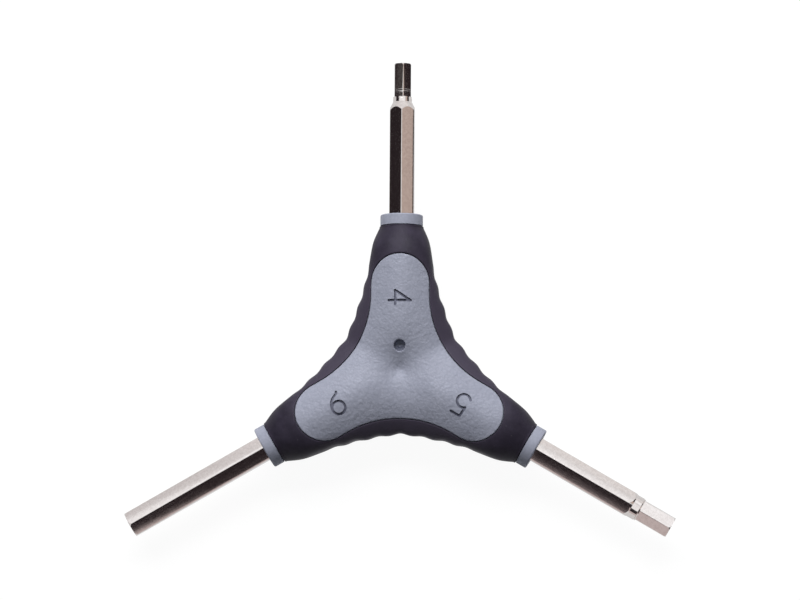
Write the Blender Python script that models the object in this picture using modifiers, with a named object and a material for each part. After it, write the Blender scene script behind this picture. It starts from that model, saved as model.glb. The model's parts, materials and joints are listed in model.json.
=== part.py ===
"""Three-way hex key wrench with a two-shot moulded Y handle.

Three steel hex keys of 4, 5 and 6 mm stand 120 degrees apart in a rigid grey core.
The core shows as a crowned panel on each face and as a collar at the end of each arm.
A black rubber grip is moulded round the arms and down the three hollow sides, where it
carries shallow finger ridges.

Lengths are in metres. The middle of the Y is the origin, +Z leaves the front face and
+Y runs along the arm with the 4 mm key.
"""

import math

import bmesh
import bpy
from mathutils import Matrix, Vector
from mathutils.geometry import interpolate_bezier

MM = 0.001

# Fit between neighbouring pieces
GAP = 0.3 * MM

# Hex keys, all ground from the same six-sided bar
REACH = 75.0 * MM          # middle of the Y to the end of a key
KEY_ROOT = 9.0 * MM        # middle of the Y to the buried end of a key
SHANK_FLATS = 6.0 * MM
FLATS_4 = 4.0 * MM
TIP_4 = 8.2 * MM           # length of the 4 mm working end
NECK_4 = 1.2 * MM          # turned neck behind it
FLATS_5 = 5.0 * MM
TIP_5 = 8.3 * MM
NECK_5 = 2.2 * MM
NECK_OVER = 0.03 * MM      # neck radius beyond the corners of the working end
CONE_SLOPE = 0.5           # growth of the shoulder's radius along the key
END_CHAMFER = 0.35 * MM
NOTCH_AT = 16.0 * MM       # middle of the Y to the notches that lock a key in the core
NOTCH_LENGTH = 4.0 * MM
NOTCH_DEPTH = 0.8 * MM

# Walls round each key, from the socket outwards
SLEEVE_WALL = 0.6 * MM     # core under the thin end of the rubber
CUFF_WALL = 0.65 * MM      # rubber at that end
COLLAR_WALL = 1.35 * MM    # bare collar of the core
COLLAR_LENGTH = 2.5 * MM
COLLAR_EDGE = 0.35 * MM

# Plan of the handle
GRIP_END = 35.05 * MM      # middle of the Y to the end of the rubber
CUFF_LENGTH = 0.45 * MM    # straight end of the rubber
CUFF_EDGE = 0.25 * MM
HIP_AT = 23.3 * MM         # where an arm stops tapering and turns into the hollow side
HIP = 8.1 * MM             # half width of an arm there
HIP_ANGLE = math.radians(9.6)
NECK_ANGLE = math.radians(26.0)
WEB = 15.3 * MM            # middle of the Y to the middle of a hollow side
RUBBER = 1.8 * MM

# Height of the handle
THICKNESS = 16.0 * MM      # over the crests of the arms
CREST_AT = 19.0 * MM       # where the crest starts to fall towards the collar
BODY_POWER = 5.0           # squareness of the sections of the body
FLANK_SLOPE = 0.47         # how steeply a panel falls away on both sides of a crest
CREST_ROUND = 3.0 * MM     # roundness of the crests
VALLEY_ROUND = 0.28 * MM   # softness of the valleys where the flanks of two arms meet
DISH_DEPTH = 3.8 * MM      # hollow at the middle of each panel
DISH_LONG = 14.0 * MM      # its reach along the arms
DISH_SHORT = 12.0 * MM     # its reach towards the hollow sides
DISH_ROUND = 1.6 * MM      # roundness of its bottom
DISH_POWER = 2.4           # 1 makes the hollow a cone, more makes its rim softer

# Finger ridges on the hollow sides
RIDGES = 3                 # on each side of the middle of a hollow side
RIDGE_PITCH = 5.4 * MM
RIDGE_HEIGHT = 0.34 * MM

# Panels and the moulding gate
PANEL_END = 27.7 * MM      # middle of the Y to the rounded end of a panel
BAND = 1.15 * MM           # rubber beside the panel at the hip
WEB_BAND = 3.5 * MM        # rubber beside the panel on a hollow side
GATE_AT = 5.6 * MM
GATE_RADIUS = 1.4 * MM
GATE_DEPTH = 1.6 * MM

# Fineness of the meshes
RIDGE_STEPS = 6            # rows of faces to a finger ridge
SMOOTH_STEPS = 3           # the same where no ridge shows
HIDDEN_STEPS = 2
TAPER_ROWS = 6             # rows from the last ridge to the collar
COLUMNS = 10               # columns from a crest to the mid-plane
HIDDEN_COLUMNS = 6
ROUND = 30

COS_30 = math.cos(math.radians(30.0))
ARMS = {"4mm": 90.0, "6mm": 210.0, "5mm": 330.0}

SOCKET_RADIUS = (SHANK_FLATS / 2.0 + GAP) / COS_30
SLEEVE_RADIUS = SOCKET_RADIUS + SLEEVE_WALL
CUFF_RADIUS = SLEEVE_RADIUS + GAP + CUFF_WALL
COLLAR_RADIUS = SOCKET_RADIUS + COLLAR_WALL
NECK_AT = GRIP_END - CUFF_LENGTH
COLLAR_INNER = GRIP_END + GAP
COLLAR_FACE = COLLAR_INNER + COLLAR_LENGTH
PANEL_HALF = HIP - BAND
PANEL_WEB = WEB - WEB_BAND
RIDGES_END = RIDGES * RIDGE_PITCH


def clear_scene():
    for item in list(bpy.data.objects):
        bpy.data.objects.remove(item, do_unlink=True)


def new_collection(name):
    group = bpy.data.collections.new(name)
    bpy.context.scene.collection.children.link(group)
    return group


def new_material(name, colour, roughness, metallic):
    material = bpy.data.materials.new(name)
    material.use_nodes = True
    shader = material.node_tree.nodes["Principled BSDF"]
    shader.inputs["Base Color"].default_value = (*colour, 1.0)
    shader.inputs["Roughness"].default_value = roughness
    shader.inputs["Metallic"].default_value = metallic
    material.diffuse_color = (*colour, 1.0)
    return material


def place(mesh, name, group, matrix=None, cutter=False):
    """Puts a mesh into a collection as an object, and marks it if it only cuts."""
    item = bpy.data.objects.new(name, mesh)
    group.objects.link(item)
    if matrix is not None:
        item.matrix_world = matrix
    if cutter:
        item.hide_render = True
        item.display_type = "WIRE"
    return item


def mesh_from(bm, name):
    mesh = bpy.data.meshes.new(name)
    bm.to_mesh(mesh)
    bm.free()
    return mesh


def add_boolean(item, other, operation):
    step = item.modifiers.new(f"{operation.lower()} {other.name}", "BOOLEAN")
    step.operation = operation
    step.solver = "EXACT"
    step.object = other


def arm_frame(degrees):
    """Turns local +Z to point out along an arm, and local +X to world +Z."""
    a = math.radians(degrees)
    return Matrix((
        (0.0, math.sin(a), math.cos(a), 0.0),
        (0.0, -math.cos(a), math.sin(a), 0.0),
        (1.0, 0.0, 0.0, 0.0),
        (0.0, 0.0, 0.0, 1.0),
    ))


# Rails of the handle
# An arm lies along local X here. A side is the line that the handle shows from above,
# from the middle of a hollow side to the end of an arm.

def smooth_step(t):
    t = min(max(t, 0.0), 1.0)
    return t * t * (3.0 - 2.0 * t)


def bezier(a, b, c, d, count):
    points = [Vector((*p, 0.0)) for p in (a, b, c, d)]
    return [Vector((p.x, p.y)) for p in interpolate_bezier(*points, count)]


def side_line(web, hip, neck, end, edge):
    """Half of a hollow side and the taper of the next arm as a fine line, and its straight end."""
    bisector = Vector((0.5, COS_30))
    along = Vector((COS_30, -0.5))
    middle = bisector * web
    hip_point = Vector((HIP_AT, hip))
    neck_point = Vector((NECK_AT, neck))
    hip_way = Vector((math.cos(HIP_ANGLE), -math.sin(HIP_ANGLE)))
    neck_way = Vector((math.cos(NECK_ANGLE), -math.sin(NECK_ANGLE)))
    hollow = (hip_point - middle).length
    taper = (neck_point - hip_point).length
    line = bezier(middle, middle + along * hollow * 0.1, hip_point - hip_way * hollow * 0.3, hip_point, 60)
    line += bezier(hip_point, hip_point + hip_way * taper * 0.65, neck_point - neck_way * taper * 0.4, neck_point, 40)[1:]
    cuff = [Vector((end - edge, neck))] if edge > 0.0 else []
    cuff.append(Vector((end, neck - edge)))
    return line, cuff


def along_line(points, distance):
    """Point and outward direction at a distance along a line."""
    left = distance
    last = len(points) - 2
    for i in range(len(points) - 1):
        step = points[i + 1] - points[i]
        if left <= step.length or i == last:
            way = step.normalized()
            return points[i] + way * min(left, step.length), Vector((-way.y, way.x))
        left -= step.length
    return points[-1], Vector((0.0, 1.0))


def line_length(points):
    return sum((b - a).length for a, b in zip(points, points[1:]))


def crest_height(s, half, line, neck):
    """Height of the crest of an arm, before the hollow at the middle is taken out."""
    if s <= CREST_AT:
        return half
    if s >= NECK_AT:
        return neck
    run = NECK_AT - CREST_AT
    fall = math.tan(NECK_ANGLE) * run * 0.3
    curve = bezier((CREST_AT, half), (CREST_AT + run * 0.5, half), (NECK_AT - run * 0.3, neck + fall), (NECK_AT, neck), 24)
    for a, b in zip(curve, curve[1:]):
        if s <= b.x:
            return a.y + (b.y - a.y) * (s - a.x) / (b.x - a.x)
    return neck


def flank(x, y):
    """How far a panel lies below the crests: three roofs, one along each arm, that meet in valleys."""
    total = 0.0
    for turn in (0.0, 120.0, 240.0):
        a = math.radians(turn)
        ahead = x * math.cos(a) + y * math.sin(a) > 0.0
        off = y * math.cos(a) - x * math.sin(a) if ahead else math.hypot(x, y)
        fall = FLANK_SLOPE * (math.hypot(off, CREST_ROUND) - CREST_ROUND)
        total += math.exp(-fall / VALLEY_ROUND)
    return -VALLEY_ROUND * math.log(total)


def dish(x, y):
    """Depth of the hollow at the middle of a panel, for an arm along X."""
    r = math.hypot(x, y)
    third = math.cos(3.0 * math.atan2(y, x)) if r > 0.0 else 0.0
    reach = (DISH_LONG + DISH_SHORT) / 2.0 + third * (DISH_LONG - DISH_SHORT) / 2.0
    t = min((math.hypot(r, DISH_ROUND) - DISH_ROUND) / reach, 1.0)
    return DISH_DEPTH * (1.0 - t) ** DISH_POWER


def ridge(distance):
    """Finger ridges: a valley at the middle of a hollow side and after every pitch."""
    if distance <= RIDGES_END:
        return -0.5 * RIDGE_HEIGHT * math.cos(2.0 * math.pi * distance / RIDGE_PITCH)
    return -0.5 * RIDGE_HEIGHT * (1.0 - smooth_step((distance - RIDGES_END) / (0.5 * RIDGE_PITCH)))


def row_distances(line, cuff, steps):
    """Distances along the side at which the handle's sections stand."""
    curved = line_length(line)
    ridged = min(RIDGES_END, curved * 0.75)
    count = RIDGES * steps
    rows = [ridged * i / count for i in range(count)]
    rows += [ridged + (curved - ridged) * i / TAPER_ROWS for i in range(TAPER_ROWS + 1)]
    rows += [line_length(line + cuff[: i + 1]) for i in range(len(cuff))]
    return rows


def crest_station(outer, web):
    """Where the section that ends at a point of the side starts on the arm's middle line.

    The sections fan out between two arms. The fan starts and ends without a jump in
    direction, so that the surface runs smoothly over the plane between the arms.
    """
    run = HIP_AT - web * 0.5
    t = min((outer.x - web * 0.5) / run, 1.0)
    lead = web * 0.5 * (1.0 + 2.0 * t) * (1.0 - t) ** 2 + run * t * (1.0 - t) ** 2
    return max(outer.x - lead, 0.0)


def handle_form(name, inset, neck, end, edge, ridged, steps, columns):
    """Closed Y form, lofted from the round necks to the flat sections of the hollow sides.

    A twelfth of it is a grid of faces, whose rows are sections that turn from square
    across the arm to the plane between two arms. Mirrors and turns make the rest.
    """
    web = WEB - inset
    line, cuff = side_line(web, HIP - inset, neck, end, edge)
    half = THICKNESS / 2.0 - inset
    rows = row_distances(line, cuff, steps)
    bm = bmesh.new()
    bmesh.ops.create_grid(bm, x_segments=len(rows) - 1, y_segments=columns, size=0.5)
    for vert in bm.verts:
        row = round((vert.co.x + 0.5) * (len(rows) - 1))
        v = round((vert.co.y + 0.5) * columns) / columns
        outer, outward = along_line(line + cuff, rows[row])
        inner = Vector((crest_station(outer, web), 0.0))
        body = smooth_step((NECK_AT - outer.x) / (NECK_AT - HIP_AT))
        power = 2.0 + (BODY_POWER - 2.0) * body
        sine = math.sin(0.5 * math.pi * v)
        cosine = math.cos(0.5 * math.pi * v)
        size = (abs(sine) ** power + abs(cosine) ** power) ** (1.0 / power)
        across = sine / size
        height = cosine / size
        crest = outer.y if outer.x >= NECK_AT else crest_height(inner.x, half, line, neck)
        plan = inner.lerp(outer, across)
        if ridged:
            plan += outward * ridge(rows[row]) * smooth_step((v - 0.4) / 0.35)
        z = height * (crest - body * flank(plan.x, plan.y)) - dish(plan.x, plan.y)
        vert.co = (plan.x, 0.0 if v == 0.0 else plan.y, 0.0 if v == 1.0 else z)
    bmesh.ops.mirror(bm, geom=bm.verts[:] + bm.edges[:] + bm.faces[:], axis="Y", merge_dist=1e-6)
    bmesh.ops.mirror(bm, geom=bm.verts[:] + bm.edges[:] + bm.faces[:], axis="Z", merge_dist=1e-6)
    arm = bm.verts[:] + bm.edges[:] + bm.faces[:]
    for turn in (1, 2):
        copy = bmesh.ops.duplicate(bm, geom=arm)["geom"]
        copied = [item for item in copy if isinstance(item, bmesh.types.BMVert)]
        bmesh.ops.rotate(bm, verts=copied, cent=(0, 0, 0), matrix=Matrix.Rotation(math.radians(120.0 * turn), 3, "Z"))
    bmesh.ops.rotate(bm, verts=bm.verts[:], cent=(0, 0, 0), matrix=Matrix.Rotation(math.radians(90.0), 3, "Z"))
    bmesh.ops.remove_doubles(bm, verts=bm.verts[:], dist=2e-6)
    bmesh.ops.holes_fill(bm, edges=[edge_ for edge_ in bm.edges if edge_.is_boundary], sides=0)
    bmesh.ops.recalc_face_normals(bm, faces=bm.faces[:])
    return mesh_from(bm, name)


# Panel outline
# Each lobe is straight-sided with a half-round end, and one arc joins it to the next.

def panel_outline(grow):
    half = PANEL_HALF + grow
    end = PANEL_END + grow
    fillet = (PANEL_WEB + grow - half / COS_30) / (1.0 / COS_30 - 1.0)
    fillet = max(min(fillet, math.tan(math.radians(60.0)) * (end - half) - half), half * 0.1)
    points = []
    for k in range(3):
        arm = Matrix.Rotation(math.radians(90.0 + 120.0 * k), 2)
        for i in range(17):
            a = math.radians(-90.0 + 180.0 * i / 16.0)
            points.append(arm @ Vector((end - half + half * math.cos(a), half * math.sin(a))))
        centre = Vector((0.5, COS_30)) * ((half + fillet) / COS_30)
        for i in range(1, 10):
            a = math.radians(-90.0 - 60.0 * i / 10.0)
            points.append(arm @ (centre + fillet * Vector((math.cos(a), math.sin(a)))))
    return points


def panel_prism(name, grow, group):
    """The panel outline as a tall prism, welded so that it can cut."""
    curve = bpy.data.curves.new(name, "CURVE")
    curve.dimensions = "2D"
    curve.fill_mode = "BOTH"
    curve.extrude = THICKNESS
    outline = panel_outline(grow)
    spline = curve.splines.new("POLY")
    spline.points.add(len(outline) - 1)
    for point, place_at in zip(spline.points, outline):
        point.co = (place_at.x, place_at.y, 0.0, 1.0)
    spline.use_cyclic_u = True
    guide = bpy.data.objects.new(name, curve)
    group.objects.link(guide)
    seen = guide.evaluated_get(bpy.context.evaluated_depsgraph_get())
    mesh = bpy.data.meshes.new_from_object(seen)
    bpy.data.objects.remove(guide, do_unlink=True)
    bm = bmesh.new()
    bm.from_mesh(mesh)
    bmesh.ops.remove_doubles(bm, verts=bm.verts[:], dist=1e-6)
    bmesh.ops.recalc_face_normals(bm, faces=bm.faces[:])
    bm.to_mesh(mesh)
    bm.free()
    return place(mesh, name, group, cutter=True)


# Turned shapes and hexagonal bars, along local Z

def turned(name, profile, group, matrix, cutter=True):
    """A solid of revolution from (radius, height) pairs that run from top to bottom."""
    mesh = bpy.data.meshes.new(name)
    mesh.from_pydata([(r, 0.0, z) for r, z in profile], [(i, i + 1) for i in range(len(profile) - 1)], [])
    item = place(mesh, name, group, matrix, cutter)
    screw = item.modifiers.new("turn", "SCREW")
    screw.axis = "Z"
    screw.angle = math.tau
    screw.steps = ROUND
    screw.render_steps = ROUND
    screw.use_merge_vertices = True
    screw.merge_threshold = 1e-6
    return item


def hex_bar(name, flats, start, end):
    """A six-sided bar with a corner on local +X."""
    bm = bmesh.new()
    radius = flats / 2.0 / COS_30
    bmesh.ops.create_cone(bm, cap_ends=True, segments=6, radius1=radius, radius2=radius, depth=end - start)
    bmesh.ops.rotate(bm, verts=bm.verts[:], cent=(0, 0, 0), matrix=Matrix.Rotation(math.radians(30.0), 3, "Z"))
    bmesh.ops.translate(bm, verts=bm.verts[:], vec=(0, 0, (start + end) / 2.0))
    return mesh_from(bm, name)


def box(name, low, high):
    bm = bmesh.new()
    bmesh.ops.create_cube(bm, size=1.0)
    bmesh.ops.scale(bm, verts=bm.verts[:], vec=tuple(b - a for a, b in zip(low, high)))
    bmesh.ops.translate(bm, verts=bm.verts[:], vec=tuple((a + b) / 2.0 for a, b in zip(low, high)))
    return mesh_from(bm, name)


def notch_boxes(label, clear, group, frame):
    """Blocks that stand in the two notches of a key, drawn in all round by a clearance."""
    wide = SHANK_FLATS
    floor = SHANK_FLATS / 2.0 - NOTCH_DEPTH + clear
    low_z = NOTCH_AT - NOTCH_LENGTH / 2.0 + clear
    high_z = NOTCH_AT + NOTCH_LENGTH / 2.0 - clear
    blocks = []
    for side in (-1.0, 1.0):
        ys = sorted((side * floor, side * SHANK_FLATS))
        mesh = box(f"notch_{label}", (-wide, ys[0], low_z), (wide, ys[1], high_z))
        blocks.append(place(mesh, f"notch_{label}_{'left' if side < 0 else 'right'}", group, frame, True))
    return blocks


def hex_key(name, degrees, flats, tip, neck, steel, group, cutters):
    """One key: a bar that is cut to a shoulder and a smaller working end, or left plain."""
    frame = arm_frame(degrees)
    corner = SHANK_FLATS / 2.0 / COS_30
    over = corner + END_CHAMFER
    bar = place(hex_bar(name, SHANK_FLATS, KEY_ROOT, REACH), name, group, frame)
    stepped = flats < SHANK_FLATS
    if stepped:
        small = flats / 2.0 / COS_30 + NECK_OVER
        tip_base = REACH - tip
        cone_top = tip_base - neck
        cone_foot = cone_top - (over - small) / CONE_SLOPE
        profile = [(0.0, tip_base), (small, tip_base), (small, cone_top), (over, cone_foot)]
    else:
        run = 2.0 * END_CHAMFER
        profile = [(0.0, REACH), (corner - END_CHAMFER, REACH), (over, REACH - run)]
    profile += [(over, KEY_ROOT - END_CHAMFER), (0.0, KEY_ROOT - END_CHAMFER)]
    add_boolean(bar, turned(f"{name}_outline", profile, cutters, frame), "INTERSECT")
    if stepped:
        point = place(hex_bar(f"{name}_tip", flats, tip_base - neck / 2.0, REACH), f"{name}_tip", cutters, frame, True)
        tip_corner = flats / 2.0 / COS_30
        ends = [(0.0, REACH), (tip_corner - END_CHAMFER, REACH), (tip_corner + END_CHAMFER, REACH - 2.0 * END_CHAMFER)]
        ends += [(tip_corner + END_CHAMFER, tip_base - neck), (0.0, tip_base - neck)]
        add_boolean(point, turned(f"{name}_tip_outline", ends, cutters, frame), "INTERSECT")
        add_boolean(bar, point, "UNION")
    for block in notch_boxes(f"in_{name}", 0.0, cutters, frame):
        add_boolean(bar, block, "DIFFERENCE")
    bar.data.materials.append(steel)
    return bar


# Assembly

clear_scene()
parts = new_collection("y_wrench")
cutters = new_collection("cutters")

grey = new_material("grey_plastic", (0.30, 0.31, 0.37), 0.5, 0.0)
black = new_material("black_rubber", (0.03, 0.027, 0.035), 0.62, 0.0)
steel_4 = new_material("plated_steel_4mm", (0.62, 0.60, 0.57), 0.22, 1.0)
steel_5 = new_material("plated_steel_5mm", (0.62, 0.60, 0.57), 0.22, 1.0)
steel_6 = new_material("plated_steel_6mm", (0.62, 0.60, 0.57), 0.22, 1.0)

hex_key("hex_key_4mm", ARMS["4mm"], FLATS_4, TIP_4, NECK_4, steel_4, parts, cutters)
hex_key("hex_key_5mm", ARMS["5mm"], FLATS_5, TIP_5, NECK_5, steel_5, parts, cutters)
hex_key("hex_key_6mm", ARMS["6mm"], SHANK_FLATS, 0.0, 0.0, steel_6, parts, cutters)

# The core: an inner Y under the rubber, the two panels, three collars and three sockets
smooth = handle_form("smooth_form", 0.0, CUFF_RADIUS, GRIP_END, CUFF_EDGE, False, SMOOTH_STEPS, COLUMNS)
panels = panel_prism("panel_block", 0.0, cutters)
add_boolean(panels, place(smooth, "smooth_form", cutters, cutter=True), "INTERSECT")

core_end = COLLAR_INNER + COLLAR_LENGTH / 2.0
inner = handle_form("core_handle", RUBBER, SLEEVE_RADIUS, core_end, 0.0, False, HIDDEN_STEPS, HIDDEN_COLUMNS)
core = place(inner, "core_handle", parts)
core.data.materials.append(grey)
add_boolean(core, panels, "UNION")
for label, degrees in ARMS.items():
    frame = arm_frame(degrees)
    rim = COLLAR_RADIUS - COLLAR_EDGE
    profile = [(0.0, COLLAR_FACE), (rim, COLLAR_FACE), (COLLAR_RADIUS - 0.3 * COLLAR_EDGE, COLLAR_FACE - 0.3 * COLLAR_EDGE)]
    profile += [(COLLAR_RADIUS, COLLAR_FACE - COLLAR_EDGE), (COLLAR_RADIUS, COLLAR_INNER), (0.0, COLLAR_INNER)]
    add_boolean(core, turned(f"collar_{label}", profile, cutters, frame), "UNION")
for label, degrees in ARMS.items():
    frame = arm_frame(degrees)
    bar = hex_bar(f"socket_{label}", SHANK_FLATS + 2.0 * GAP, KEY_ROOT - GAP, COLLAR_FACE + COLLAR_LENGTH)
    socket = place(bar, f"socket_{label}", cutters, frame, True)
    for block in notch_boxes(f"of_core_{label}", GAP, cutters, frame):
        add_boolean(socket, block, "DIFFERENCE")
    add_boolean(core, socket, "DIFFERENCE")
gate_floor = THICKNESS / 2.0 - flank(GATE_AT, 0.0) - dish(GATE_AT, 0.0) - GATE_DEPTH
gate = turned(
    "gate_recess",
    [(0.0, THICKNESS), (GATE_RADIUS, THICKNESS), (GATE_RADIUS, gate_floor), (0.0, gate_floor)],
    cutters,
    Matrix.Translation((0.0, GATE_AT, 0.0)),
)
add_boolean(core, gate, "DIFFERENCE")

# The grip: the ridged form, opened for the inner Y and for both panels
ridged = handle_form("rubber_grip", 0.0, CUFF_RADIUS, GRIP_END, CUFF_EDGE, True, RIDGE_STEPS, COLUMNS)
grip = place(ridged, "rubber_grip", parts)
grip.data.materials.append(black)
seat_end = GRIP_END + COLLAR_LENGTH
seat = handle_form("core_clearance", RUBBER - GAP, SLEEVE_RADIUS + GAP, seat_end, 0.0, False, HIDDEN_STEPS, HIDDEN_COLUMNS)
add_boolean(grip, place(seat, "core_clearance", cutters, cutter=True), "DIFFERENCE")
add_boolean(grip, panel_prism("panel_opening", GAP, cutters), "DIFFERENCE")
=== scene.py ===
# %% [markdown]
# # A three-way hex key wrench
#
# Three plated steel keys stand 120 degrees apart in a two-shot moulded Y. The first shot is hard
# grey plastic and shows as a crowned panel on each face and as a collar on each arm. The second
# shot is black rubber round the arms and down the hollow sides.
#
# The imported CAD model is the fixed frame. Each of its five nodes is stood for here by one finer
# mesh in the same place, with rounded edges, moulded figures and real finishes.

# %% Load the fixed frame
import bisect
import json
import math

import bmesh
import bpy
from mathutils import Matrix, Vector
from mathutils.geometry import interpolate_bezier

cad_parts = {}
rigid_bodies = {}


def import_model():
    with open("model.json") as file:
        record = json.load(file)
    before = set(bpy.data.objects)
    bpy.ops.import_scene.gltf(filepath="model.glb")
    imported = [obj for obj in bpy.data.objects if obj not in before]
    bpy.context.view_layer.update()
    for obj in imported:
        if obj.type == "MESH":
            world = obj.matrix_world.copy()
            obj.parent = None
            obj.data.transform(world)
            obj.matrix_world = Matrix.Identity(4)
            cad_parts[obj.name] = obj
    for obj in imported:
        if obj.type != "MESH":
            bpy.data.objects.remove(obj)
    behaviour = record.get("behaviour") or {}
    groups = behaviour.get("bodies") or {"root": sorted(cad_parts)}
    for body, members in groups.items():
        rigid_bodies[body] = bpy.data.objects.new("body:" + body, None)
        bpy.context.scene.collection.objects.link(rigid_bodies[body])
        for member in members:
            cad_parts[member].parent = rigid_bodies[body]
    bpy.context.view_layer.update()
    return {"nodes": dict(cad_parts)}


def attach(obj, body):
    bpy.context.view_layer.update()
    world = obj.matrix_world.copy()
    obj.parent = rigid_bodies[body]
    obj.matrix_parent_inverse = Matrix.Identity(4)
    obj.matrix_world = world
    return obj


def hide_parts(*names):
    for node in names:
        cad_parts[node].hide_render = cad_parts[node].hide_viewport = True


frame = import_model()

print("nodes:", ", ".join(sorted(frame["nodes"])))

# %% [markdown]
# ## Sizes
#
# The plan and the height of the handle are those of the CAD model. An arm is drawn along X here
# and turned to its place at the end, so one set of numbers serves all three arms.
#
# Two things differ a little from the CAD. The hollow of a panel is up to 0.2 mm sharper, which
# gives its shading the right form. And the rubber is a thinner skin, where nobody sees it, so
# that the seam beside a panel ends on the core and shows no light from below.

# %% Sizes of the handle
MM = 0.001
COS_30 = math.cos(math.radians(30.0))
ARMS = {"4mm": 90.0, "6mm": 210.0, "5mm": 330.0}

HIP_AT, HIP = 23.3 * MM, 8.1 * MM
HIP_ANGLE, NECK_ANGLE = math.radians(9.6), math.radians(26.0)
WEB = 15.3 * MM
RUBBER, SEAT = 0.75 * MM, 0.2 * MM
THICKNESS = 16.0 * MM
CREST_AT = 19.0 * MM
BODY_POWER = 5.0
FLANK_SLOPE, CREST_ROUND, VALLEY_ROUND = 0.47, 3.0 * MM, 0.28 * MM
DISH_DEPTH, DISH_LONG, DISH_SHORT = 3.9 * MM, 14.0 * MM, 12.0 * MM
DISH_ROUND, DISH_POWER = 0.9 * MM, 2.4
RIDGES, RIDGE_PITCH, RIDGE_HEIGHT = 3, 5.4 * MM, 0.34 * MM
RIDGE_STARTS, RIDGE_FADE = 0.4, 0.35

REACH, KEY_ROOT = 75.0 * MM, 9.0 * MM
SHANK_FLATS = 6.0 * MM
SOCKET_RADIUS = 3.3 * MM / COS_30
SLEEVE_RADIUS = SOCKET_RADIUS + 0.6 * MM
SEAT_RADIUS = SLEEVE_RADIUS + SEAT
CUFF_RADIUS = SLEEVE_RADIUS + 0.95 * MM
COLLAR_RADIUS = SOCKET_RADIUS + 1.35 * MM
GRIP_END = 35.05 * MM
NECK_AT = GRIP_END - 0.45 * MM
COLLAR_INNER = GRIP_END + 0.12 * MM
COLLAR_FACE = GRIP_END + 2.8 * MM
print("handle", round(2 * WEB / MM, 1), "mm between hollow sides,", THICKNESS / MM, "mm thick")

# %% [markdown]
# ## The handle as one surface
#
# A moulded Y like this could be sculpted, or built from a few loops under a Subdivision
# Surface. Here it is a formula, because the panel, the rubber and the core under them must all
# follow the very same skin, only drawn in by different amounts. Sections fan out from the
# middle line of an arm to the plane between two arms. They are squarish across the body and
# round at the neck.

# %% The side line and the crest line
HOLLOW_STEPS, TAPER_STEPS, CREST_STEPS = 240, 160, 96
HOLLOW_PULLS, TAPER_PULLS, CREST_PULLS = (0.1, 0.3), (0.65, 0.4), (0.5, 0.3)


def smooth_step(t):
    t = min(max(t, 0.0), 1.0)
    return t * t * (3.0 - 2.0 * t)


def bezier(points, count):
    made = interpolate_bezier(*(Vector((*p, 0.0)) for p in points), count)
    return [Vector((p.x, p.y)) for p in made]


def handle_skin(inset, neck):
    """The lines that define the handle's skin, drawn in by inset and ending in a round neck."""
    middle = Vector((0.5, COS_30)) * (WEB - inset)
    hip = Vector((HIP_AT, HIP - inset))
    end = Vector((NECK_AT, neck))
    middle_way = Vector((COS_30, -0.5))
    hip_way = Vector((math.cos(HIP_ANGLE), -math.sin(HIP_ANGLE)))
    neck_way = Vector((math.cos(NECK_ANGLE), -math.sin(NECK_ANGLE)))
    hollow, taper = (hip - middle).length, (end - hip).length
    side = bezier((middle, middle + middle_way * hollow * HOLLOW_PULLS[0],
                   hip - hip_way * hollow * HOLLOW_PULLS[1], hip), HOLLOW_STEPS)
    at_hip = len(side) - 1
    side += bezier((hip, hip + hip_way * taper * TAPER_PULLS[0],
                    end - neck_way * taper * TAPER_PULLS[1], end), TAPER_STEPS)[1:]
    far = [0.0]
    for a, b in zip(side, side[1:]):
        far.append(far[-1] + (b - a).length)
    half, run = THICKNESS / 2.0 - inset, NECK_AT - CREST_AT
    rise = math.tan(NECK_ANGLE) * run * CREST_PULLS[1]
    crest = bezier(((CREST_AT, half), (CREST_AT + run * CREST_PULLS[0], half),
                    (NECK_AT - run * CREST_PULLS[1], neck + rise), (NECK_AT, neck)), CREST_STEPS)
    return {"web": WEB - inset, "half": half, "side": side, "far": far, "hip": far[at_hip],
            "stations": [p.x for p in crest], "heights": [p.y for p in crest]}


outer_skin = handle_skin(0.0, CUFF_RADIUS)
core_skin = handle_skin(RUBBER, SLEEVE_RADIUS)
seat_skin = handle_skin(RUBBER - SEAT, SEAT_RADIUS)
print("side line", round(outer_skin["far"][-1] / MM, 2), "mm long")

# %% A point of the skin
HALVINGS = 30


def between(table, values, at):
    """The value at a place in a rising table, read linearly, and the row below that place."""
    i = min(max(bisect.bisect_right(table, at) - 1, 0), len(table) - 2)
    t = min(max((at - table[i]) / (table[i + 1] - table[i]), 0.0), 1.0)
    return values[i] + (values[i + 1] - values[i]) * t, i


def fan_line(skin, distance):
    """Both ends of the section that meets the side line at a distance, and the side's normal."""
    outer, i = between(skin["far"], skin["side"], distance)
    way = (skin["side"][i + 1] - skin["side"][i]).normalized()
    start = skin["web"] * 0.5
    run = HIP_AT - start
    t = min((outer.x - start) / run, 1.0)
    lead = start * (1.0 + 2.0 * t) * (1.0 - t) ** 2 + run * t * (1.0 - t) ** 2
    return Vector((max(outer.x - lead, 0.0), 0.0)), outer, Vector((-way.y, way.x))


def flank(x, y):
    """Fall below the crests: a roof along each of the three arms, with soft valleys between."""
    total = 0.0
    for turn in (0.0, 120.0, 240.0):
        a = math.radians(turn)
        ahead = x * math.cos(a) + y * math.sin(a) > 0.0
        off = y * math.cos(a) - x * math.sin(a) if ahead else math.hypot(x, y)
        fall = FLANK_SLOPE * (math.hypot(off, CREST_ROUND) - CREST_ROUND)
        total += math.exp(-fall / VALLEY_ROUND)
    return -VALLEY_ROUND * math.log(total)


def dish(x, y):
    """Depth of the hollow at the middle of a panel. It reaches furthest along the arms."""
    radius = math.hypot(x, y)
    third = math.cos(3.0 * math.atan2(y, x)) if radius > 0.0 else 0.0
    reach = (DISH_LONG + DISH_SHORT) / 2.0 + third * (DISH_LONG - DISH_SHORT) / 2.0
    t = min((math.hypot(radius, DISH_ROUND) - DISH_ROUND) / reach, 1.0)
    return DISH_DEPTH * (1.0 - t) ** DISH_POWER


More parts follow.
